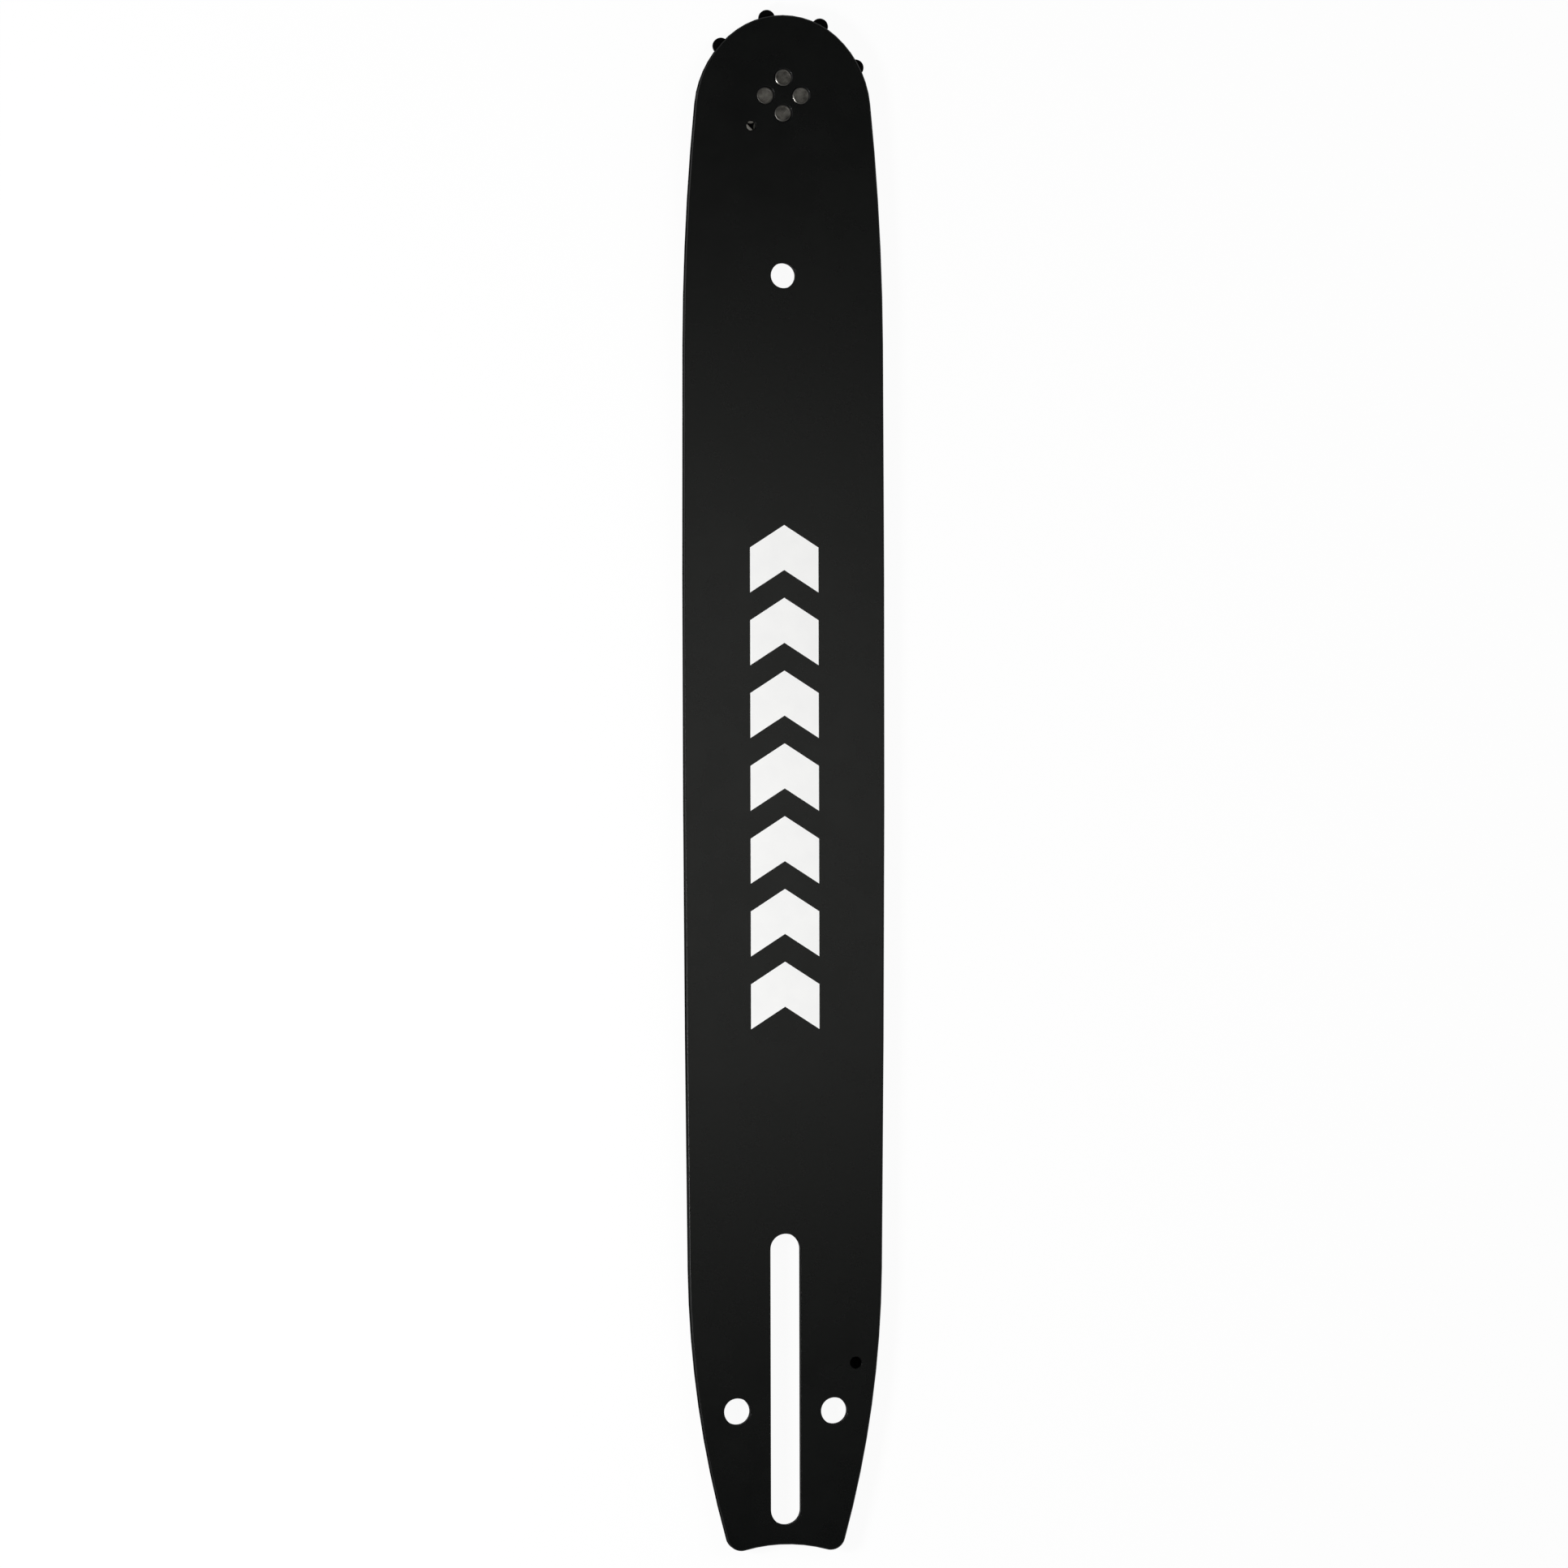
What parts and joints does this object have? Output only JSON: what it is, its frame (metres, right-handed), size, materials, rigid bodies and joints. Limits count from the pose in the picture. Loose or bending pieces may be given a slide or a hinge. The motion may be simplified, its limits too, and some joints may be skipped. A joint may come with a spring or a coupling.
{
  "type": "chainsaw guide bar",
  "caption": "Laminated chainsaw guide bar with a grooved edge for the chain, a turning star sprocket in its rounded nose, and a slotted tail that bolts to the saw.",
  "frame": {"origin": "centre of the slot for the saw's bar studs, on the rear face, which lies on the floor", "axes": "+Y along the bar from the tail to the nose, +X across the bar, to the right when the front face is seen with the nose up, +Z out of the front face"},
  "size_m": [0.054, 0.4111, 0.004],
  "materials": {
    "black_paint": "satin",
    "core_steel": "matte",
    "sprocket_steel": "satin",
    "rivet_steel": "satin",
    "bearing_steel": "polished"
  },
  "bodies": {
    "bar": {"side_plate_front": "black_paint", "side_plate_rear": "black_paint", "core_plate": "core_steel", "bearing_inner_race": "bearing_steel", "nose_rivets": "rivet_steel"},
    "sprocket": {"nose_sprocket": "sprocket_steel"},
    "roller_ring": {"bearing_roller_01": "bearing_steel", "bearing_roller_02": "bearing_steel", "bearing_roller_03": "bearing_steel", "bearing_roller_04": "bearing_steel", "bearing_roller_05": "bearing_steel", "bearing_roller_06": "bearing_steel", "bearing_roller_07": "bearing_steel", "bearing_roller_08": "bearing_steel", "bearing_roller_09": "bearing_steel", "bearing_roller_10": "bearing_steel", "bearing_roller_11": "bearing_steel", "bearing_roller_12": "bearing_steel", "bearing_roller_13": "bearing_steel", "bearing_roller_14": "bearing_steel", "bearing_roller_15": "bearing_steel", "bearing_roller_16": "bearing_steel", "bearing_roller_17": "bearing_steel", "bearing_roller_18": "bearing_steel", "bearing_roller_19": "bearing_steel", "bearing_roller_20": "bearing_steel"}
  },
  "joints": [
    {"name": "sprocket_spin", "type": "hinge", "parent": "bar", "child": "sprocket", "pos_m": [0, 0.3426, 0.002], "axis": [0, 0, 1], "continuous": true},
    {"name": "roller_orbit", "type": "hinge", "parent": "bar", "child": "roller_ring", "pos_m": [0, 0.3426, 0.002], "axis": [0, 0, 1], "continuous": true}
  ],
  "couplings": [
    {"joint": "roller_orbit", "follows": "sprocket_spin", "ratio": 0.57738}
  ]
}
